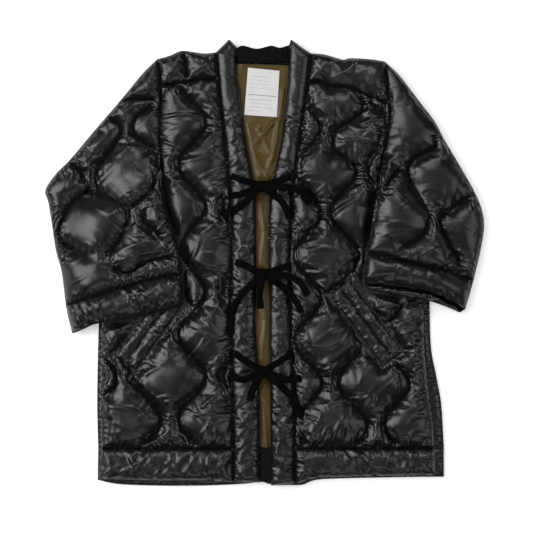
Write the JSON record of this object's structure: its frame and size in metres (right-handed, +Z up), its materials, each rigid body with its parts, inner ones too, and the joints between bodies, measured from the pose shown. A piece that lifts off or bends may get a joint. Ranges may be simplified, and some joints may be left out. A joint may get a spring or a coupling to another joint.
{
  "type": "padded overcoat laid flat",
  "caption": "Loose padded overcoat laid flat on its back: wave-quilted black nylon, olive lining, wide sleeves, front and hem bands, slanted welt pockets and tied tape bows.",
  "frame": {"origin": "on the floor below the middle of the coat's outline", "axes": "+Z up off the floor, +Y towards the neck, +X towards the wearer's left side"},
  "size_m": [0.8358, 0.851, 0.0496],
  "materials": {
    "shell": "glossy black nylon, quilted over wadding",
    "lining": "olive nylon with a soft sheen",
    "nape": "dull black pile cloth",
    "label": "white woven patch, bare of words",
    "tape": "matt black woven tape",
    "snap": "dark lacquered press snap"
  },
  "bodies": {
    "root": {"back_panel": "shell", "band_back": "shell", "band_left": "shell", "band_right": "shell", "bow_lower_knot": "tape", "bow_lower_lead_left": "tape", "bow_lower_lead_right": "tape", "bow_lower_loop_left": "tape", "bow_lower_loop_right": "tape", "bow_lower_tail_left": "tape", "bow_lower_tail_right": "tape", "bow_middle_knot": "tape", "bow_middle_lead_left": "tape", "bow_middle_lead_right": "tape", "bow_middle_loop_left": "tape", "bow_middle_loop_right": "tape", "bow_middle_tail_left": "tape", "bow_middle_tail_right": "tape", "bow_upper_knot": "tape", "bow_upper_lead_left": "tape", "bow_upper_lead_right": "tape", "bow_upper_loop_left": "tape", "bow_upper_loop_right": "tape", "bow_upper_tail_left": "tape", "bow_upper_tail_right": "tape", "cuff_left": "shell", "cuff_right": "shell", "front_left": "shell", "front_right": "shell", "hem_back": "shell", "hem_facing": "shell", "hem_front_left": "shell", "hem_front_right": "shell", "label": "label", "lining_back": "lining", "nape_facing": "nape", "sleeve_left": "shell", "sleeve_right": "shell", "snap_left": "snap", "snap_right": "snap", "welt_left": "shell", "welt_right": "shell"}
  },
  "joints": []
}
